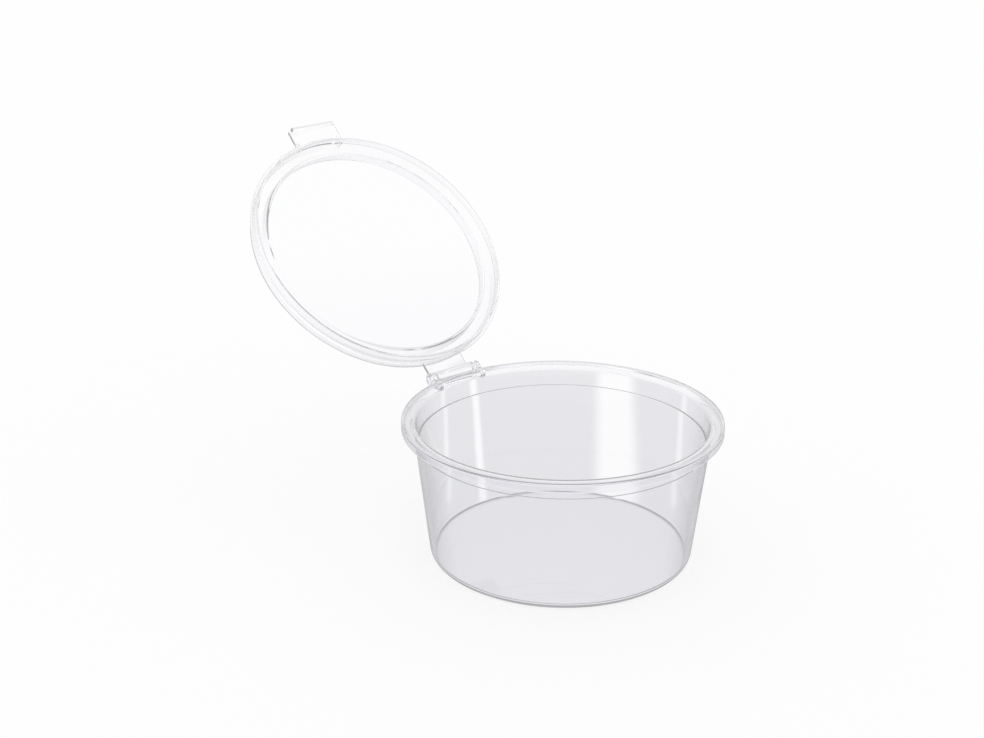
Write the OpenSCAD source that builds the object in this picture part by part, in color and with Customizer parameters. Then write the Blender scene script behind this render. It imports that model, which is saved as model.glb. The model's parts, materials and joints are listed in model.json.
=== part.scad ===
// A clear sauce cup with a hinged lid, drawn with the lid open.
// The cup stands on the origin with its rim up; the hinge is on its +Y side and the lid's tab on its -Y side.

/* [Cup] */
// Height of the cup from its base to the top of its rim
cup_h = 32.1; // [24:0.1:60]
// Outside diameter of the base, where the wall's line meets the table
base_d = 59.2; // [50:0.1:62]
// Thickness of the collar's wall
wall_t = 0.65; // [0.45:0.05:1]
// Thickness of the cup's floor
floor_t = 0.7; // [0.5:0.05:1.5]
// Radius of the outside corner between wall and base
base_round = 1.5; // [0.8:0.1:3]
// Radius of the inside corner between wall and floor
floor_round = 1; // [0.4:0.1:2]
// Depth of the wide collar below the rim, down to the step
collar_depth = 4.9; // [3.5:0.1:8]
// Slope of the collar's wall, in degrees
collar_draft = 7; // [3:0.5:9]
// Width of the step inside the cup, by which the wall below it is thicker than the collar's
step_w = 0.4; // [0.3:0.1:1.2]

/* [Rim] */
// Outside diameter of the rim
rim_d = 71.5; // [68:0.5:74]
// Width of the rim's band, from the collar's line to the outer edge
band_w = 3; // [2:0.1:4]
// Radius of the rounded mouth, where the collar's wall turns out into the band
mouth_round = 1.2; // [0.3:0.1:1.5]
// Height of the rim's down-turned lip
lip_h = 2.2; // [1.6:0.1:3]
// Thickness of the rim's plate and lip
lip_t = 0.7; // [0.5:0.05:0.9]
// Radius of the rounded edges of the rim
rim_round = 0.3; // [0.1:0.05:0.35]

/* [Lid] */
// Height of the lid from the foot of its skirt to its top
lid_h = 5.3; // [4.6:0.1:9]
// Thickness of the lid
lid_t = 0.6; // [0.45:0.05:0.9]
// Depth to which the foot of the skirt plugs into the collar
plug_depth = 1.6; // [1:0.1:2.5]
// Gap between the plug and the collar
plug_gap = 0.3; // [0.2:0.05:0.5]
// Slope of the skirt above the rim, in degrees
skirt_draft = 3; // [1:0.5:6]
// Radius of the outside corner of the lid's top
top_round = 0.6; // [0.3:0.1:1]
// Height by which the stop bead stands proud of the skirt
bead_out = 0.7; // [0.4:0.1:1]
// Gap between the closed lid's stop bead and the rim
seat_gap = 0.2; // [0.1:0.05:0.4]
// Diameter of the recess in the lid's top
recess_d = 57.6; // [44:0.2:60]
// Depth of the recess in the lid's top
recess_depth = 2.9; // [1.5:0.1:3]
// Slope of the recess's wall, in degrees
recess_draft = 6; // [2:0.5:10]

/* [Tab] */
// Width of the opening tab
tab_w = 14; // [8:0.5:24]
// Length of the tab beyond the skirt
tab_l = 5.2; // [4.2:0.1:9]
// Depth of the lip under the tab's outer edge
tab_lip_h = 1; // [0.4:0.1:2]
// Thickness of the lip under the tab's outer edge
tab_lip_t = 0.9; // [0.5:0.1:1]
// Radius of the tab's outer corners
tab_round = 0.8; // [0.3:0.1:2]
// Size of the gussets that tie the tab to the skirt
gusset = 1.6; // [0.8:0.1:2]

/* [Hinge] */
// Angle of the lid from closed, in degrees
open_angle = 137; // [0:1:180]
// Thickness of the strap, the tab and the stop bead
strap_t = 0.7; // [0.5:0.05:1]
// Width of the strap and its barrel between the ears
strap_w = 11.6; // [8:0.1:20]
// Outside radius of the barrel and of the ears
knuckle_r = 1.6; // [1.4:0.05:2.2]
// Gap between the rim and the barrel
knuckle_gap = 0.3; // [0.2:0.05:0.6]
// Radius of the pins at the ends of the barrel
pin_r = 0.8; // [0.6:0.05:1]
// Running clearance round each pin
pin_clear = 0.05; // [0.03:0.01:0.09]
// Thickness of the ears on the rim
ear_t = 1.3; // [1:0.1:2]
// Gap between the barrel and each ear
side_play = 0.15; // [0.1:0.05:0.3]
// Distance of each pin's end inside its ear's outer face
pin_inset = 0.2; // [0:0.05:0.5]

/* [Hidden] */
CLEAR = [0.88, 0.9, 0.93, 0.55];
CLEAR_LID = [0.92, 0.94, 0.97, 0.55];
FINE = 128;
ROUND = 48;
STEPS = 4;

rim_r = rim_d / 2;
base_r = base_d / 2;
// Inside of the collar at the rim and at the step
mouth_r = rim_r - band_w;
collar_foot_r = mouth_r - collar_depth * tan(collar_draft);
throat_r = collar_foot_r - step_w;
step_z = cup_h - collar_depth;
// Outside, the tapered wall runs from the base's edge to the foot of the collar without a step
knee_z = step_z - wall_t;
knee_r = collar_foot_r - wall_t * tan(collar_draft) + wall_t;
wall_slope = (knee_r - base_r) / knee_z;
wall_angle = atan(wall_slope);
// Inside, it runs parallel to that from the step to the floor
inner_foot_r = throat_r - (step_z - floor_t) * wall_slope;

// The lid's heights are measured from the top of the rim
lid_foot = -plug_depth;
lid_top = lid_h - plug_depth;
bead_foot = seat_gap;
bead_top = seat_gap + strap_t;
skirt_r = mouth_r - plug_gap;
skirt_foot_r = skirt_r - plug_depth * tan(collar_draft);
bead_r = skirt_r + bead_out;
panel_z = lid_top - recess_depth;
recess_r = recess_d / 2;
recess_foot_r = recess_r - recess_depth * tan(recess_draft);
// The top is always wide enough for the recess, two walls and the rounded edge
lid_top_r = max(skirt_r - lid_top * tan(skirt_draft), recess_r + 2 * lid_t + top_round);

// The hinge axis lies along X, just outside the rim and just below its top
axis_y = rim_r + knuckle_gap + knuckle_r;
axis_z = cup_h + bead_top - knuckle_r;
ear_x = strap_w / 2 + side_play;
pin_end = ear_x + ear_t - pin_inset;
bore_r = pin_r + pin_clear;

// Points along an arc about (x, y), from angle a to angle b
function arc(x, y, r, a, b) = [for (i = [0:STEPS]) let (t = a + (b - a) * i / STEPS) [x + r * cos(t), y + r * sin(t)]];

// Half-section of the cup: up the outside, over the rim and down the inside
module cup_section() {
    corner_x = base_r + base_round * wall_slope - base_round / cos(wall_angle);
    inner_z = floor_t + floor_round;
    inner_x = inner_foot_r + floor_round * wall_slope - floor_round / cos(wall_angle);
    groove_z = cup_h - lip_t;
    // The band's underside meets the collar in a slant that follows the rounded mouth
    slant = min(0.4 * mouth_round, (band_w - wall_t - lip_t) / 2);
    slant_x = mouth_r + wall_t - lip_t * tan(collar_draft);
    polygon(concat(
        [[0, 0]],
        arc(corner_x, base_round, base_round, -90, -wall_angle),
        [[knee_r, knee_z]],
        [[slant_x - slant * tan(collar_draft), groove_z - slant]],
        [[slant_x + slant, groove_z]],
        [[rim_r - lip_t, groove_z]],
        [[rim_r - lip_t, cup_h - lip_h]],
        arc(rim_r - rim_round, cup_h - lip_h + rim_round, rim_round, -90, 0),
        arc(rim_r - rim_round, cup_h - rim_round, rim_round, 0, 90),
        arc(mouth_r + mouth_round, cup_h - mouth_round, mouth_round, 90, 180 - collar_draft),
        [[collar_foot_r, step_z]],
        [[throat_r, step_z]],
        arc(inner_x, inner_z, floor_round, -wall_angle, -90),
        [[0, floor_t]]
    ));
}

// Half-section of the closed lid, about the rim's own level
module lid_section() {
    bead_half = strap_t / 2;
    bead_mid = bead_foot + bead_half;
    neck_r = skirt_r - bead_top * tan(skirt_draft);
    roof = lid_top - lid_t;
    polygon(concat(
        [[0, panel_z - lid_t]],
        [[recess_foot_r + lid_t, panel_z - lid_t]],
        [[recess_r + lid_t, roof]],
        [[lid_top_r - lid_t, roof]],
        [[skirt_r - lid_t, 0]],
        [[skirt_foot_r - lid_t, lid_foot]],
        [[skirt_foot_r, lid_foot]],
        [[skirt_r, 0]],
        [[skirt_r, bead_foot]],
        arc(bead_r - bead_half, bead_mid, bead_half, -90, 90),
        [[neck_r, bead_top]],
        arc(lid_top_r - top_round, lid_top - top_round, top_round, skirt_draft, 90),
        [[recess_r, lid_top]],
        [[recess_foot_r, panel_z]],
        [[0, panel_z]]
    ));
}

// A cylinder along X from x = a to x = b, about the hinge axis
module along_axis(r, a, b) {
    translate([a, axis_y, axis_z]) rotate([0, 90, 0]) cylinder(h = b - a, r = r, $fn = ROUND);
}

// What grows out of a round wall: its root is cut back to radius r, inside that wall
module rooted(r, low, high) {
    difference() {
        children();
        translate([0, 0, low]) cylinder(h = high - low, r = r, $fn = FINE);
    }
}

// One ear on the +X side: a web out of the rim's lip, ending in a round eye
module ear() {
    web_h = lip_h - rim_round;
    web_z = cup_h - lip_h;
    rooted(rim_r - lip_t / 2, web_z - 1, cup_h + 1)
        translate([ear_x, mouth_r, web_z]) cube([ear_t, axis_y - mouth_r, web_h]);
    along_axis(knuckle_r, ear_x, ear_x + ear_t);
}

module ears() {
    for (side = [0, 1]) mirror([side, 0, 0]) ear();
}

// The bores of both ears, cut in one pass
module ear_bores() {
    reach = ear_x + 2 * ear_t;
    along_axis(bore_r, -reach, reach);
}

// The plate of the strap, from inside the skirt's wall to the hinge axis
module strap() {
    start = skirt_r - strap_w / 4;
    translate([-strap_w / 2, start, cup_h + bead_foot]) cube([strap_w, axis_y - start, strap_t]);
}

// The flat tab opposite the hinge, with rounded outer corners and a lip under its edge
module tab() {
    tip = skirt_r + tab_l;
    start = skirt_r - tab_w / 4;
    half = tab_w / 2;
    lip_half = half - tab_round;
    outline = concat(
        [[-half, -start]],
        arc(tab_round - half, tab_round - tip, tab_round, 180, 270),
        arc(half - tab_round, tab_round - tip, tab_round, 270, 360),
        [[half, -start]]
    );
    translate([0, 0, cup_h + bead_foot]) linear_extrude(height = strap_t) polygon(outline);
    translate([-lip_half, -tip, cup_h + bead_foot - tab_lip_h])
        cube([2 * lip_half, tab_lip_t, tab_lip_h + strap_t / 2]);
}

// Small gussets between the top of the tab and the skirt
module gussets() {
    start = skirt_r - tab_w / 4;
    inset = tab_w / 2 - lid_t;
    low = bead_top - strap_t / 2;
    high = bead_top + gusset;
    outline = [[-start, low], [-skirt_r - gusset, low], [-skirt_r, high], [-start, high]];
    for (x = [-inset, inset - lid_t])
        translate([x, 0, cup_h]) rotate([90, 0, 90]) linear_extrude(height = lid_t) polygon(outline);
}

// The lid in its closed place over the cup
module closed_lid() {
    translate([0, 0, cup_h]) rotate_extrude($fn = FINE) lid_section();
    rooted(skirt_r - lid_t / 2, cup_h - 1, cup_h + lid_top + 1) {
        strap();
        tab();
        gussets();
    }
    along_axis(knuckle_r, -strap_w / 2, strap_w / 2);
    along_axis(pin_r, -pin_end, pin_end);
}

module cup() {
    color(CLEAR) difference() {
        union() {
            rotate_extrude($fn = FINE) cup_section();
            ears();
        }
        ear_bores();
    }
}

module lid() {
    color(CLEAR_LID)
        translate([0, axis_y, axis_z]) rotate([-open_angle, 0, 0]) translate([0, -axis_y, -axis_z]) closed_lid();
}

cup();
lid();
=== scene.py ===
# %% [markdown]
# # A clear sauce cup with a hinged lid
# This is a small disposable cup for dips and dressings, with its lid standing open. It is two
# mouldings in clear plastic: a tapered cup with a stepped collar and a flanged rim, and a lid
# that turns on two pins at the back of the rim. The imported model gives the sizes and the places;
# here each moulding is built again as one smooth skin, because clear plastic shows every facet.

import json
import math

import bpy
import numpy as np
from mathutils import Matrix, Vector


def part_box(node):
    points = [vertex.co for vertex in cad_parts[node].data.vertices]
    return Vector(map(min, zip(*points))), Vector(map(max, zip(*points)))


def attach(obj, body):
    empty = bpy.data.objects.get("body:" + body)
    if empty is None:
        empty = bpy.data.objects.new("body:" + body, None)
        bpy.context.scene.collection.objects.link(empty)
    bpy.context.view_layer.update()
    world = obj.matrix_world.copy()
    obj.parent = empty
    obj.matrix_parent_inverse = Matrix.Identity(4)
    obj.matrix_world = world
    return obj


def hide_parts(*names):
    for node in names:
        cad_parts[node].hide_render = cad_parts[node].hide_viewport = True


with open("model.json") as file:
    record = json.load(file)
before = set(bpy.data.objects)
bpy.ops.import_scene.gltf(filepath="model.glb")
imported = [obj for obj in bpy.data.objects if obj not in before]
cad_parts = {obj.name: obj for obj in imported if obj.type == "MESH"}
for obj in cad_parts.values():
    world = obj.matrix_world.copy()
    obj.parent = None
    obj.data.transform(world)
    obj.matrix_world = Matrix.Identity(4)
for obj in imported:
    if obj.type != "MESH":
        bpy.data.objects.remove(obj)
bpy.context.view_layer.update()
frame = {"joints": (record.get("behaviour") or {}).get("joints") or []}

# %% [markdown]
# ## Sizes
# Lengths are millimetres while we shape things, and become metres when a mesh is made. The rim's
# radius, the hinge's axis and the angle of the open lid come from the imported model. The rest are
# wall thicknesses, steps and draft angles, which a mould maker would read from a drawing. The ears
# of the hinge are the cup's highest points, so its height is the box's, less their rise.

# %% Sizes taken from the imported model
MM = 0.001
hinge = frame["joints"][0]
axis_y = hinge["pos_m"][1] / MM
axis_z = hinge["pos_m"][2] / MM
open_angle = -math.radians(hinge["range_deg"][0])
rim_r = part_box("cup")[1].x / MM
EAR_RISE = 0.9
cup_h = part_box("cup")[1].z / MM - EAR_RISE
print(f"rim radius {rim_r:.2f} mm, cup height {cup_h:.2f} mm")
print(f"hinge axis at y {axis_y:.2f}, z {axis_z:.2f} mm, lid open by {math.degrees(open_angle):.0f} deg")

# %% Sizes of the cup
wall_t = 0.65
floor_t = 0.7
collar_depth = 4.9
collar_draft = math.radians(7)
step_w = 0.4
band_w = 3.0
mouth_round = 1.2
base_round = 1.5
knee_round = 60.0
floor_round = 1.0
lip_h = 2.2
lip_t = 0.7
base_r = 29.6
step_z = cup_h - collar_depth
mouth_r = rim_r - band_w
collar_foot_r = mouth_r - collar_depth * math.tan(collar_draft)
throat_r = collar_foot_r - step_w
knee_z = step_z - wall_t
knee_r = collar_foot_r - wall_t * math.tan(collar_draft) + wall_t
wall_slope = (knee_r - base_r) / knee_z
wall_draft = math.degrees(math.atan(wall_slope))
print(f"mouth {2 * mouth_r:.1f} mm across, base {2 * base_r:.1f} mm, wall's draft {wall_draft:.1f} deg")

# %% Sizes of the lid and of its hinge
lid_t = 0.6
lid_top = 3.7
plug_depth = 1.6
plug_gap = 0.3
skirt_r = mouth_r - plug_gap
skirt_foot_r = skirt_r - plug_depth * math.tan(collar_draft)
skirt_draft = math.radians(3)
bead_foot = 0.2
strap_t = 0.7
bead_top = bead_foot + strap_t
bead_out = 0.7
bead_r = skirt_r + bead_out
lid_top_r = skirt_r - lid_top * math.tan(skirt_draft)
recess_depth = 2.9
panel_z = lid_top - recess_depth
recess_r = 28.8
recess_draft = math.radians(6)
recess_foot_r = recess_r - recess_depth * math.tan(recess_draft)
knuckle_r = 1.6
strap_w = 11.6
side_play = 0.15
ear_x = strap_w / 2 + side_play
ear_t = 1.3
pin_r = 0.8
pin_clear = 0.05
bore_r = pin_r + pin_clear
pin_inset = 0.2
pin_end = ear_x + ear_t - pin_inset
tab_w = 14.0
tab_l = 5.2
tab_tip = skirt_r + tab_l
print(f"lid {2 * skirt_r:.1f} mm across the skirt, recess {2 * recess_r:.1f} mm")

# %% [markdown]
# ## Two ways to make a solid
# Everything round on this object is a profile turned about the middle, as on a lathe. Everything
# at the hinge and the tab is a flat outline with a thickness. So two small functions are enough.
# Real moulded edges are never sharp: a corner of the profile is turned into a short arc, and a
# slab's edges roll over. Those small radii are what catches the light.


# %% Round a profile's corners
def rounded(corners, steps=6, guard=0.12):
    """Points along a profile whose corners are arcs.

    Each corner is (r, z, radius). The arc touches both of its straight lines at a distance of
    radius / tan(half the corner's angle), and its centre lies on the corner's bisector at
    radius / sin(half the angle). A point a little before and one a little after each arc keep
    the shading of the straight walls flat.
    """
    corners = np.array(corners, float)
    points = corners[:, :2]
    spans = np.diff(points, axis=0)
    lengths = np.linalg.norm(spans, axis=1)
    units = spans / lengths[:, None]
    back = -units[:-1]
    ahead = units[1:]
    half = np.arccos(np.clip((back * ahead).sum(1), -1, 1)) / 2
    reach = corners[1:-1, 2] / np.tan(half)
    bisector = (back + ahead) / np.linalg.norm(back + ahead, axis=1)[:, None]
    middle = points[1:-1]
    centre = middle + bisector * (corners[1:-1, 2] / np.sin(half))[:, None]
    first = middle + back * reach[:, None] - centre
    last = middle + ahead * reach[:, None] - centre
    sweep = (np.pi - 2 * half)[:, None, None]
    share = np.linspace(0, 1, steps + 1)[None, :, None]
    arcs = np.sin((1 - share) * sweep) * first[:, None] + np.sin(share * sweep) * last[:, None]
    arcs = centre[:, None] + arcs / np.sin(sweep)
    taken = np.concatenate([[0], reach]) + np.concatenate([reach, [0]])
    free = np.minimum(guard, (lengths - taken) / 4)
    before = middle + back * (reach + free[:-1])[:, None]
    after = middle + ahead * (reach + free[1:])[:, None]
    rows = np.concatenate([before[:, None], arcs, after[:, None]], axis=1)
    return np.vstack([points[:1], rows.reshape(-1, 2), points[-1:]])


# %% Turn a profile about the Z axis
def turned(profile, around=240):
    """Surface of revolution: point (u, v) is (r(u) cos v, r(u) sin v, z(u)).

    The profile's first and last points lie on the axis, and close the skin as two poles. The
    profile runs with the solid on its left, so that the faces point outwards.
    """
    angle = np.linspace(0, 2 * np.pi, around, endpoint=False)
    ring = profile[1:-1]
    grid = np.stack([np.outer(ring[:, 0], np.cos(angle)), np.outer(ring[:, 0], np.sin(angle)),
                     np.repeat(ring[:, 1:], around, axis=1)], axis=2)
    poles = [[0, 0, profile[0, 1]], [0, 0, profile[-1, 1]]]
    points = np.vstack([grid.reshape(-1, 3), poles])
    index = np.arange(len(ring) * around).reshape(len(ring), around)
    beside = np.roll(index, -1, axis=1)
    sides = np.stack([index[:-1], beside[:-1], beside[1:], index[1:]], axis=2).reshape(-1, 4)
    low = np.stack([beside[0], index[0], np.full(around, len(points) - 2)], axis=1)
    high = np.stack([index[-1], beside[-1], np.full(around, len(points) - 1)], axis=1)
    return points, sides.tolist() + low.tolist() + high.tolist()


# %% Give a flat outline a thickness
def slab(outline, low, high, axis="x", edge=0.12, steps=3):
    """Solid between two levels, with its edges rolled over.

    Point (u, v) is the outline's point u, moved inwards along its mitre by edge (1 - sin v) while
    the level rises by edge (1 - cos v). The outline runs anticlockwise, in (y, z) for a slab
    along x and in (x, y) for one along z.
    """
    outline = np.array(outline, float)
    step = np.roll(outline, -1, axis=0) - outline
    normal = np.stack([step[:, 1], -step[:, 0]], axis=1) / np.linalg.norm(step, axis=1)[:, None]
    other = np.roll(normal, 1, axis=0)
    mitre = (normal + other) / (1 + (normal * other).sum(1))[:, None]
    turn = np.linspace(0, np.pi / 2, steps + 1)
    inset = edge * (1 - np.sin(turn))
    rise = edge * (1 - np.cos(turn))
    level = np.concatenate([low + rise, (high - rise)[::-1]])
    inset = np.concatenate([inset, inset[::-1]])
    flat = outline[None] - mitre[None] * inset[:, None, None]
    depth = np.broadcast_to(level[:, None, None], flat.shape[:2] + (1,))
    order = [2, 0, 1] if axis == "x" else [0, 1, 2]
    points = np.concatenate([flat, depth], axis=2)[..., order].reshape(-1, 3)
    index = np.arange(len(points)).reshape(flat.shape[:2])
    beside = np.roll(index, -1, axis=1)
    sides = np.stack([index[:-1], beside[:-1], beside[1:], index[1:]], axis=2).reshape(-1, 4)
    return points, sides.tolist() + [index[0, ::-1].tolist(), index[-1].tolist()]


def arc(centre_u, centre_v, radius, start, stop, steps=24):
    """Points of an arc: centre + radius (cos t, sin t), with t from start to stop in degrees."""
    t = np.radians(np.linspace(start, stop, steps + 1))
    return np.stack([centre_u + radius * np.cos(t), centre_v + radius * np.sin(t)], axis=1).tolist()


# %% [markdown]
# ## One moulding, one skin
# Where a web or a strap grows out of a wall, the plastic is continuous. If the two solids only
# overlapped, their hidden faces would show inside the clear wall as false lines. So the parts of
# one moulding are united with a Boolean, the bores are cut, and what is left is one closed skin.


# %% Unite solids into one mesh
def blank(name, shape):
    """A mesh object, in metres, from a shape's points in millimetres and its faces."""
    points, faces = shape
    mesh = bpy.data.meshes.new(name)
    mesh.from_pydata((np.asarray(points) * MM).tolist(), [], faces)
    thing = bpy.data.objects.new(name, mesh)
    bpy.context.scene.collection.objects.link(thing)
    return thing


def moulded(name, shell, grown=(), bored=()):
    """The shell with the grown solids added and the bored ones cut out, as one smooth piece."""
    piece = blank(name, shell)
    tools = []
    for operation, shapes in (("UNION", grown), ("DIFFERENCE", bored)):
        for shape in shapes:
            tool = blank("tool", shape)
            cut = piece.modifiers.new("join", "BOOLEAN")
            cut.operation = operation
            cut.solver = "EXACT"
            cut.object = tool
            tools.append(tool)
    bpy.context.view_layer.update()
    made = bpy.data.meshes.new_from_object(piece.evaluated_get(bpy.context.evaluated_depsgraph_get()))
    piece.modifiers.clear()
    piece.data = made
    made.name = name
    for tool in tools:
        bpy.data.objects.remove(tool)
    return piece


def smooth(piece, crease=35):
    """Smooth shading that stops at edges sharper than crease degrees."""
    piece.data.shade_smooth()
    piece.data.set_sharp_from_angle(angle=math.radians(crease))
    count = sum(len(face.vertices) - 2 for face in piece.data.polygons)
    print(f"{piece.name}: {count} triangles")
    return piece


# %% [markdown]
# ## The cup
# The profile goes up the outside from the middle of the base, over the rim and down the inside.
# The wall leans out by about 7 degrees, so that the cup comes out of its mould. Inside it has a
# step below the collar, where the lid plugs in; outside it runs straight up. At the mouth the
# collar turns out in a soft round into the rim's band, and the band ends in a lip turned down,
# which makes the thin edge stiff. The step's corners are kept nearly sharp, because in clear
# plastic a sharp ledge shows as one thin line, and a soft one as a thick dark band.


# %% The cup's profile
groove_z = cup_h - lip_t
inner_foot_r = throat_r - (step_z - floor_t) * wall_slope
cup_profile = rounded([
    (0, 0, 0),
    (base_r, 0, base_round),
    (knee_r, knee_z, knee_round),
    (mouth_r - lip_t * math.tan(collar_draft) + wall_t, groove_z, 0.8),
    (rim_r - lip_t, groove_z, 0.2),
    (rim_r - lip_t, cup_h - lip_h, 0.15),
    (rim_r, cup_h - lip_h, 0.3),
    (rim_r, cup_h, 0.3),
    (mouth_r, cup_h, mouth_round),
    (collar_foot_r, step_z, 0.06),
    (throat_r, step_z, 0.06),
    (inner_foot_r, floor_t, floor_round),
    (0, floor_t, 0),
])
print(f"cup profile: {len(cup_profile)} points")

# %% [markdown]
# Two ears stand on the rim's lip at the back. Each is a web that ends in a round eye, and the
# pins of the lid turn in their bores.

# %% The ears and their bores
web_z = cup_h - lip_h
web_top = cup_h - 0.3
ear_root = rim_r - 1.0
low_turn = math.degrees(math.asin((web_z - axis_z) / knuckle_r))
high_turn = math.degrees(math.asin((web_top - axis_z) / knuckle_r))
ear_outline = [(ear_root, web_z)]
ear_outline += arc(axis_y, axis_z, knuckle_r, -180 - low_turn, 180 - high_turn, 36)
ear_outline += [(ear_root, web_top)]
ears = [slab(ear_outline, ear_x, ear_x + ear_t), slab(ear_outline, -ear_x - ear_t, -ear_x)]
bore = slab(arc(axis_y, axis_z, bore_r, 0, 360, 48)[:-1], -ear_x - 2 * ear_t, ear_x + 2 * ear_t, edge=0.01)
cup = smooth(moulded("cup_body", turned(cup_profile), ears, [bore]))

# %% [markdown]
# ## The lid
# The lid is shaped in its closed place, where its fits with the cup are easy to read, and is then
# turned about the hinge by the angle at which it stands open. Its skirt plugs into the collar, a
# small bead stops it on the rim, and a shallow recess stiffens the top.

# %% The lid's profile, with heights from the top of the rim
roof = lid_top - lid_t
neck_r = skirt_r - bead_top * math.tan(skirt_draft)
lid_profile = rounded([
    (0, panel_z - lid_t, 0),
    (recess_foot_r + lid_t, panel_z - lid_t, 0.6),
    (recess_r + lid_t, roof, 0.25),
    (lid_top_r - lid_t, roof, 0.2),
    (skirt_r - lid_t, 0, 1.5),
    (skirt_foot_r - lid_t, -plug_depth, 0.2),
    (skirt_foot_r, -plug_depth, 0.2),
    (skirt_r, 0, 0.6),
    (skirt_r, bead_foot, 0.05),
    (bead_r, bead_foot, 0.3),
    (bead_r, bead_top, 0.3),
    (neck_r, bead_top, 0.15),
    (lid_top_r, lid_top, 0.6),
    (recess_r, lid_top, 0.3),
    (recess_foot_r, panel_z, 0.25),
    (0, panel_z, 0),
])
lid_profile[:, 1] += cup_h
print(f"lid profile: {len(lid_profile)} points")

# %% The strap with its barrel and pins
strap_low = cup_h + bead_foot
strap_high = cup_h + bead_top
strap_root = skirt_r - 0.5
under_turn = math.degrees(math.asin((strap_low - axis_z) / knuckle_r))
strap_outline = [(strap_root, strap_low)]
strap_outline += arc(axis_y, axis_z, knuckle_r, 180 - under_turn, 450, 44)
strap_outline += [(strap_root, strap_high)]
strap = slab(strap_outline, -strap_w / 2, strap_w / 2)
pins = slab(arc(axis_y, axis_z, pin_r, 0, 360, 48)[:-1], -pin_end, pin_end)

# %% The tab, its lip and its gussets
tab_half = tab_w / 2
tab_round = 0.8
tab_outline = [(-tab_half, -strap_root)]
tab_outline += arc(tab_round - tab_half, tab_round - tab_tip, tab_round, 180, 270, 6)
tab_outline += arc(tab_half - tab_round, tab_round - tab_tip, tab_round, 270, 360, 6)
tab_outline += [(tab_half, -strap_root)]
tab = slab(tab_outline, strap_low, strap_high, axis="z")
tab_lip_h = 1.0
tab_lip_t = 0.9
lip_low = strap_low - tab_lip_h
lip_high = strap_low + strap_t / 2
lip_back = tab_lip_t - tab_tip
lip_outline = [(-tab_tip, lip_low), (lip_back, lip_low), (lip_back, lip_high), (-tab_tip, lip_high)]
tab_lip = slab(lip_outline, tab_round - tab_half, tab_half - tab_round)
gusset = 1.6
gusset_low = strap_high - strap_t / 2
gusset_root = skirt_r - 1.0
gusset_outline = [(-skirt_r - gusset, gusset_low), (-gusset_root, gusset_low),
                  (-gusset_root, strap_high + gusset), (-skirt_r, strap_high + gusset)]
gussets = [slab(gusset_outline, side - lid_t / 2, side + lid_t / 2)
           for side in (1.5 * lid_t - tab_half, tab_half - 1.5 * lid_t)]
lid = smooth(moulded("lid_body", turned(lid_profile), [strap, pins, tab, tab_lip, *gussets]))


# %% Open the lid
def opened(piece, angle):
    """Turns the piece's own points about the hinge axis: y and z rotate, x stays."""
    count = len(piece.data.vertices)
    points = np.empty(count * 3)
    piece.data.vertices.foreach_get("co", points)
    points = points.reshape(-1, 3)
    y = points[:, 1] - axis_y * MM
    z = points[:, 2] - axis_z * MM
    points[:, 1] = axis_y * MM + y * math.cos(angle) + z * math.sin(angle)
    points[:, 2] = axis_z * MM - y * math.sin(angle) + z * math.cos(angle)
    piece.data.vertices.foreach_set("co", points.ravel())
    piece.data.update()


opened(lid, open_angle)
for piece in (cup, lid):
    box = np.array(piece.bound_box) / MM
    print(piece.name, "from", np.round(box.min(0), 2), "to", np.round(box.max(0), 2), "mm")

# %% Hand the pieces to the frame
for piece, body in ((cup, "cup"), (lid, "lid")):
    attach(piece, body)
    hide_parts(body)

# %% [markdown]
# ## Writing materials as sums
# A material is a small graph of nodes. Written out node by node it is hard to read, so a wire in
# the graph gets the usual signs of arithmetic, and any other node comes from one method.


# %% Helpers for node trees
class Wire:
    """One socket's output. Sums, differences and products of wires add their Math nodes."""

    def __init__(self, graph, socket):
        self.graph = graph
        self.socket = socket

    def _sum(self, operation, first, second):
        return self.graph.node("ShaderNodeMath", {"operation": operation}, {0: first, 1: second})

    def __add__(self, other):
        return self._sum("ADD", self, other)

    def __radd__(self, other):
        return self._sum("ADD", other, self)

    def __sub__(self, other):
        return self._sum("SUBTRACT", self, other)

    def __rsub__(self, other):
        return self._sum("SUBTRACT", other, self)

    def __mul__(self, other):
        return self._sum("MULTIPLY", self, other)

    def __rmul__(self, other):
        return self._sum("MULTIPLY", other, self)


class Graph:
    """A material's or the world's node tree, emptied and ready to build."""

    def __init__(self, owner):
        owner.use_nodes = True
        self.tree = owner.node_tree
        self.tree.nodes.clear()

    def node(self, kind, settings=None, sockets=None, output=0):
        """Adds a node: settings first, then a value or a wire for each named socket."""
        made = self.tree.nodes.new(kind)
        for name, value in (settings or {}).items():
            setattr(made, name, value)
        for name, value in (sockets or {}).items():
            if isinstance(value, Wire):
                self.tree.links.new(value.socket, made.inputs[name])
            else:
                made.inputs[name].default_value = value
        return Wire(self, made.outputs[output]) if made.outputs else None

    def light_path(self, name):
        """One of the facts that the renderer knows about a ray, such as what it left last."""
        path = self.node("ShaderNodeLightPath").socket.node
        return Wire(self, path.outputs[name])

    def ramp(self, factor, stops):
        """A colour ramp: each stop is a position from 0 to 1 and its colour."""
        colours = self.node("ShaderNodeValToRGB", {}, {"Fac": factor})
        elements = colours.socket.node.color_ramp.elements
        elements[0].position = stops[0][0]
        elements[0].color = (*stops[0][1], 1)
        elements[1].position = stops[-1][0]
        elements[1].color = (*stops[-1][1], 1)
        for position, colour in stops[1:-1]:
            elements.new(position).color = (*colour, 1)
        return colours


def darker(colour, share):
    """The colour with each channel times share."""
    return tuple(channel * share for channel in colour)


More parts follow.
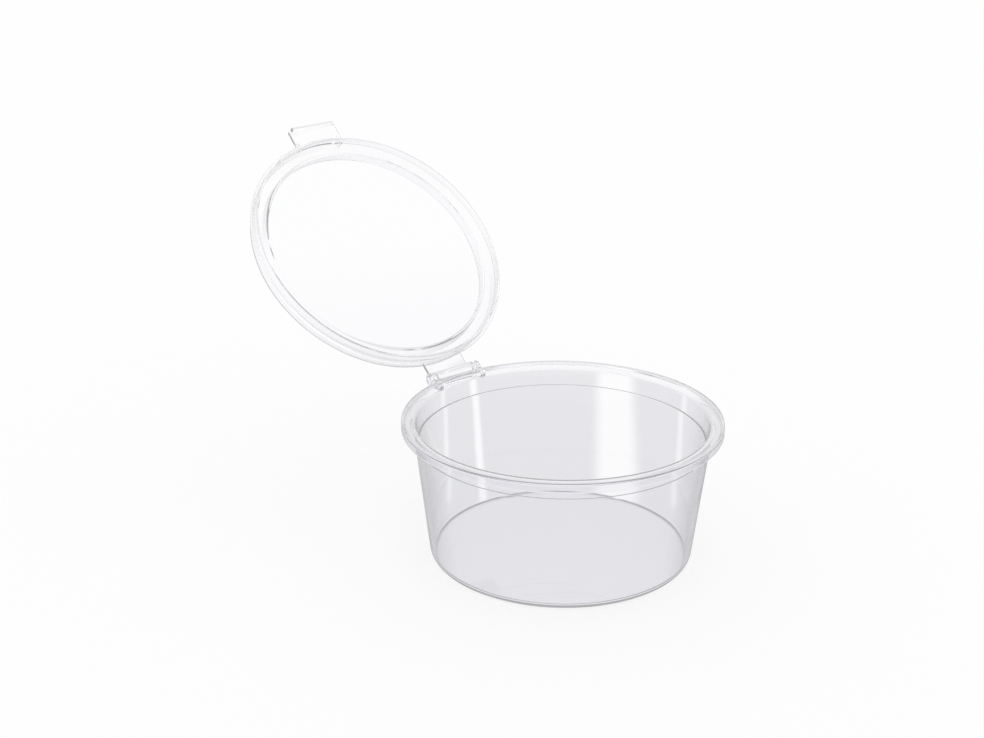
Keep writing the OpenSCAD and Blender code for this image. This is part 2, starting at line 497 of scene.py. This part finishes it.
# %% [markdown]
# ## Clear plastic
# The plastic is clear polypropylene: it lets light through, bends it like glass, and has the
# faintest milky cast. A perfect glass shader looks too clean, because a moulding has slow waves
# where the melt flowed and cooled, and a skin that is a little less glossy in places. Both are
# noise on object coordinates: waves about a centimetre long, and a fine grain of half a millimetre.
#
# Two things darken the edges of real clear plastic. Where a wall turns away from the eye, light
# crosses more of it, so the tint deepens there. Here the base colour falls to half at the edges,
# which is partly that tint and partly painted shade for the dark surroundings that the edges
# mirror. And light that enters an edge is mirrored to and fro inside the wall, as in a glass
# fibre. The renderer gives up such light after a few mirrorings and draws the edge black, while a
# real wall leaks some of it. So a surface that is met after so many mirrorings gets a painted
# glow, a little light of its own that stands in for that leak.


# %% The clear plastic
WAVES_PER_M = 90
GRAINS_PER_M = 1800
WAVE_HEIGHT = 0.00004
MIRRORINGS = 4
# The colour of the painted glow that stands in for the light a real wall leaks.
PAINTED_GLOW = (0.2, 0.2, 0.207)


def clear_plastic(name, tint, seed):
    """Transmitting plastic whose normal and roughness follow two sizes of noise.

    The tint is full where the surface faces the eye and half as bright where it turns away, partly
    the deeper tint of a longer path and partly painted shade at the edges. The emission is the
    painted glow's fixed grey on a ray that was mirrored at least MIRRORINGS times, else nothing.
    """
    material = bpy.data.materials.new(name)
    graph = Graph(material)
    place = graph.node("ShaderNodeTexCoord", output=3)
    spot = graph.node("ShaderNodeMapping", {}, {"Vector": place, "Location": (seed, seed, 0)})
    waves = graph.node("ShaderNodeTexNoise", {}, {"Vector": spot, "Scale": WAVES_PER_M, "Detail": 1.0})
    grain = graph.node("ShaderNodeTexNoise", {}, {"Vector": spot, "Scale": GRAINS_PER_M, "Detail": 2.0})
    relief = waves + grain * 0.01
    bump = graph.node("ShaderNodeBump", {}, {"Height": relief, "Strength": 1.0, "Distance": WAVE_HEIGHT})
    gloss = 0.02 + waves * 0.03
    # Painted shade: the base colour darkens to half towards the edges, partly the deeper tint of a longer
    # path and partly a stand-in for the dark surroundings that the edges mirror.
    facing = graph.node("ShaderNodeLayerWeight", {}, {"Blend": 0.5}, output=1)
    depth = graph.ramp(facing, [
        (0.0, tint),
        (0.5, tint),
        (0.65, darker(tint, 0.86)),
        (0.85, darker(tint, 0.67)),
        (1.0, darker(tint, 0.5)),
    ])
    # Painted glow: a surface met after MIRRORINGS mirrorings gives out a little light of its own, in place
    # of the light that the renderer drops there.
    mirrorings = graph.light_path("Glossy Depth")
    painted_glow_mask = graph.node("ShaderNodeMath", {"operation": "GREATER_THAN"},
                        {0: mirrorings, 1: MIRRORINGS - 0.5})
    painted_glow = graph.ramp(painted_glow_mask, [(0.0, (0, 0, 0)), (1.0, PAINTED_GLOW)])
    surface = graph.node("ShaderNodeBsdfPrincipled", {}, {
        "Base Color": depth,
        "Roughness": gloss,
        "IOR": 1.49,
        "Transmission Weight": 1.0,
        "Emission Color": painted_glow,
        "Emission Strength": 1.0,
        "Normal": bump,
    })
    graph.node("ShaderNodeOutputMaterial", {}, {"Surface": surface})
    return material


cup.data.materials.append(clear_plastic("clear_cup_plastic", (0.98, 0.98, 0.99), 0.3))
lid.data.materials.append(clear_plastic("clear_lid_plastic", (0.985, 0.985, 0.993), 0.7))
print("materials:", [piece.data.materials[0].name for piece in (cup, lid)])

# %% [markdown]
# ## The table and the room
# A clear thing is drawn by what stands round it. On an all-white table it would vanish, so a
# photographer leaves something grey near it: the walls then show as soft grey, and the edges,
# where light is bent and mirrored most, as thin dark lines. Here the camera sees a white table,
# which keeps the cup's faint shadow. Rays that come through the plastic see it grey near the cup,
# as painted shade, and mirrored rays see a darker grey, as a painted reflection. A thin dark ring
# under the base's edge is a painted contact shadow, where the cup touches the table.


# %% The table
TABLE_R = 6000
TABLE_DROP = 0.1


def disc(name, radius, around=96):
    """Flat disc at height 0, a fan of triangles round its middle."""
    angle = np.linspace(0, 2 * np.pi, around, endpoint=False)
    rim = np.stack([radius * np.cos(angle), radius * np.sin(angle), 0 * angle], axis=1)
    points = np.vstack([[0, 0, 0], rim])
    edge = np.arange(1, around + 1)
    faces = np.stack([np.zeros(around, int), edge, np.roll(edge, -1)], axis=1)
    return blank(name, (points, faces.tolist()))


floor = disc("table", TABLE_R)
floor.data.transform(Matrix.Translation((0, 0, -TABLE_DROP * MM)))
print(f"table {2 * TABLE_R * MM:.0f} m across, {TABLE_DROP} mm under the base")

# %% The painted shade and reflection that the plastic sees, by distance from the cup's axis
paper = bpy.data.materials.new("white_table")
graph = Graph(paper)
place = graph.node("ShaderNodeTexCoord", output=3)
radius = graph.node("ShaderNodeVectorMath", {"operation": "LENGTH"}, {0: place}, output=1)
REACH = 250
# Painted shade: the grey that rays through the plastic see under and near the cup, and a dark ring under
# the base's edge as a painted contact shadow.
PAINTED_SHADE_UNDER_CUP = (0.79, 0.79, 0.815)
PAINTED_CONTACT_SHADOW = (0.25, 0.25, 0.27)


def at(radius_mm, colour):
    """A stop of a radial ramp that ends at REACH millimetres."""
    return radius_mm / REACH, colour


rings = radius * (1 / (REACH * MM))
painted_shade_seen_through = graph.ramp(rings, [
    at(0, PAINTED_SHADE_UNDER_CUP),
    at(base_r - 0.75, PAINTED_SHADE_UNDER_CUP),
    at(base_r - 0.55, PAINTED_CONTACT_SHADOW),
    at(base_r - 0.3, PAINTED_CONTACT_SHADOW),
    at(base_r - 0.1, (0.80, 0.80, 0.82)),
    at(108, (0.81, 0.81, 0.83)),
    at(132, (0.97, 0.97, 0.98)),
    at(REACH, (1, 1, 1)),
])
# Painted reflection: the darker grey that mirrored rays see near the cup.
painted_reflection_tone = graph.ramp(rings, [
    at(0, (0.60, 0.60, 0.62)),
    at(70, (0.60, 0.60, 0.62)),
    at(120, (0.80, 0.80, 0.82)),
    at(REACH, (1, 1, 1)),
])


# %% [markdown]
# ## Bright strips behind the cup
# The back wall shows upright streaks of light. They are drawn as bright strips on the table behind
# the cup, which only rays through the plastic meet. They are placed for the camera's side of the
# cup, and seen from elsewhere they show through the wall as slanted bands.


# %% Bright strips behind the cup
STRIP_START = (22, 28)
STRIP_END = (108, 124)


def strip(bearing, offset, core, edge):
    """1 within core of a line on the table and 0 beyond edge, behind the cup only.

    The line passes the cup's axis at a distance of offset. With b the bearing from +Y towards +X,
    a point lies x cos b - y sin b - offset across the line and x sin b + y cos b along it.
    """
    b = math.radians(bearing)
    cross = graph.node("ShaderNodeVectorMath", {"operation": "DOT_PRODUCT"},
                       {0: place, 1: (math.cos(b), -math.sin(b), 0)}, output=1)
    along = graph.node("ShaderNodeVectorMath", {"operation": "DOT_PRODUCT"},
                       {0: place, 1: (math.sin(b), math.cos(b), 0)}, output=1)
    aside = graph.node("ShaderNodeMath", {"operation": "ABSOLUTE"}, {0: cross - offset * MM})
    narrow = graph.node("ShaderNodeMapRange", {"interpolation_type": "SMOOTHSTEP"},
                        {"Value": aside, 1: core * MM, 2: edge * MM, 3: 1.0, 4: 0.0})
    start = graph.node("ShaderNodeMapRange", {"interpolation_type": "SMOOTHSTEP"},
                       {"Value": along, 1: STRIP_START[0] * MM, 2: STRIP_START[1] * MM, 3: 0.0, 4: 1.0})
    end = graph.node("ShaderNodeMapRange", {"interpolation_type": "SMOOTHSTEP"},
                     {"Value": along, 1: STRIP_END[0] * MM, 2: STRIP_END[1] * MM, 3: 1.0, 4: 0.0})
    return narrow * start * end


glow = strip(45.0, 13.4, 3.0, 7.4) + strip(38.6, -17.2, 0.3, 1.6) + strip(38.5, -26.5, 0.1, 1.2) * 0.7
glow = glow + strip(49.5, 26.5, 0.2, 1.4) * 0.7
outside = graph.node("ShaderNodeMath", {"operation": "GREATER_THAN"}, {0: radius, 1: (base_r + 0.3) * MM})
lit_tone = graph.node("ShaderNodeMix", {"data_type": "RGBA"},
                      {0: glow * outside, 6: painted_shade_seen_through, 7: (1, 1, 1, 1)}, output=2)

# %% The table's material
seen = graph.light_path("Is Camera Ray")
mirrored = graph.light_path("Is Glossy Ray")
through = graph.light_path("Is Transmission Ray")
board = graph.node("ShaderNodeBsdfDiffuse", {}, {"Color": (0.95, 0.95, 0.95, 1)})
white = graph.node("ShaderNodeEmission", {}, {"Color": (1, 1, 1, 1), "Strength": 1.0})
reflected = graph.node("ShaderNodeEmission", {}, {"Color": painted_reflection_tone, "Strength": 1.0})
transmitted = graph.node("ShaderNodeEmission", {}, {"Color": lit_tone, "Strength": 1.0})
plain = graph.node("ShaderNodeMixShader", {}, {0: seen * 0.8, 1: board, 2: white})
gloss_seen = graph.node("ShaderNodeMixShader", {}, {0: mirrored, 1: plain, 2: reflected})
table_top = graph.node("ShaderNodeMixShader", {}, {0: through, 1: gloss_seen, 2: transmitted})
graph.node("ShaderNodeOutputMaterial", {}, {"Surface": table_top})
floor.data.materials.append(paper)
print("table material:", len(graph.tree.nodes), "nodes")

# %% [markdown]
# ## The room
# The room is a plain white sky, a little greyer near the horizon, so that the rim and the lid's
# ring have something soft to mirror. The camera itself sees it as pure white.

# %% The room
world = bpy.data.worlds.new("room")
bpy.context.scene.world = world
graph = Graph(world)
direction = graph.node("ShaderNodeTexCoord", output=0).socket
height = graph.node("ShaderNodeSeparateXYZ", {}, {"Vector": Wire(graph, direction)}, output=2)
sky = graph.ramp(height, [(0.0, (0.86, 0.86, 0.88)), (0.6, (1, 1, 1))])
seen = graph.light_path("Is Camera Ray")
room = graph.node("ShaderNodeBackground", {}, {"Color": sky, "Strength": 1.02})
white = graph.node("ShaderNodeBackground", {}, {"Color": (1, 1, 1, 1), "Strength": 1.0})
both = graph.node("ShaderNodeMixShader", {}, {0: seen, 1: room, 2: white})
graph.node("ShaderNodeOutputWorld", {}, {"Surface": both})
print("room:", len(graph.tree.nodes), "nodes")

# %% [markdown]
# ## The camera
# The photo looks down at the cup from the front left, with the hinge at the back. The distance,
# the lens and the aim were found by matching the outlines of the rim, the base and the lid.

# %% The camera
PHOTO_W = 984
PHOTO_H = 738
RIM_CENTRE_PX = (562.4, 416.3)
FOCAL_PX = 1576.0
VIEW_AZIMUTH = math.radians(-43.86)
VIEW_ELEVATION = math.radians(22.43)
DISTANCE = 350.0


def aimed_camera():
    """Camera whose picture puts the rim's centre on its pixel, held level.

    The pixel's direction in the camera is (x, y, 1). The pitch is the angle at which that
    direction falls by the view's elevation, and the heading is turned by the angle that is left
    between the camera's own axis and the rim.
    """
    x = (RIM_CENTRE_PX[0] - PHOTO_W / 2) / FOCAL_PX
    y = (PHOTO_H / 2 - RIM_CENTRE_PX[1]) / FOCAL_PX
    across, up, ahead = np.array([x, y, 1]) / math.sqrt(x * x + y * y + 1)
    pitch = math.acos(-math.sin(VIEW_ELEVATION) / math.hypot(up, ahead)) - math.atan2(ahead, up)
    heading = VIEW_AZIMUTH + math.atan2(across, up * math.sin(pitch) + ahead * math.cos(pitch))
    data = bpy.data.cameras.new("camera")
    data.sensor_width = 36
    data.lens = FOCAL_PX / PHOTO_W * data.sensor_width
    data.clip_start = 0.01
    data.clip_end = 50
    camera = bpy.data.objects.new("camera", data)
    bpy.context.scene.collection.objects.link(camera)
    flat = math.cos(VIEW_ELEVATION)
    camera.location = (DISTANCE * math.sin(VIEW_AZIMUTH) * flat * MM,
                       -DISTANCE * math.cos(VIEW_AZIMUTH) * flat * MM,
                       (cup_h + DISTANCE * math.sin(VIEW_ELEVATION)) * MM)
    camera.rotation_euler = (math.pi / 2 - pitch, 0, heading)
    return camera


camera = aimed_camera()
bpy.context.scene.camera = camera
print("camera at", [round(value, 4) for value in camera.location], f"lens {camera.data.lens:.1f} mm")

# %% [markdown]
# ## The lights
# Tall soft panels stand round the cup. A curved wall squeezes each panel into a thin upright
# glint, which is what tells the eye that the wall is smooth, hard and round.


# %% The lights
def panel(name, azimuth, distance, width, height, radiance):
    """Upright soft light on the table, at an angle round the cup and facing it.

    Power = pi x area x radiance.
    """
    data = bpy.data.lights.new(name, "AREA")
    data.shape = "RECTANGLE"
    data.size = width * MM
    data.size_y = height * MM
    data.energy = math.pi * width * height * MM * MM * radiance
    lamp = bpy.data.objects.new(name, data)
    bpy.context.scene.collection.objects.link(lamp)
    angle = math.radians(azimuth)
    lamp.location = (distance * math.sin(angle) * MM, -distance * math.cos(angle) * MM, height / 2 * MM)
    lamp.rotation_euler = (math.pi / 2, 0, angle + math.pi)
    lamp.visible_camera = False
    return lamp


PANEL_DISTANCE = 420
camera_side = math.degrees(VIEW_AZIMUTH)
panel("key_panel", camera_side - 45, PANEL_DISTANCE, 220, 420, 2.2)
panel("right_strip", camera_side + 70, PANEL_DISTANCE, 60, 380, 2.5)
panel("right_back_strip", camera_side + 108, PANEL_DISTANCE, 40, 380, 2.5)
panel("left_back_strip", camera_side - 112, PANEL_DISTANCE, 40, 380, 2.5)

bpy.context.scene.view_settings.view_transform = "Standard"
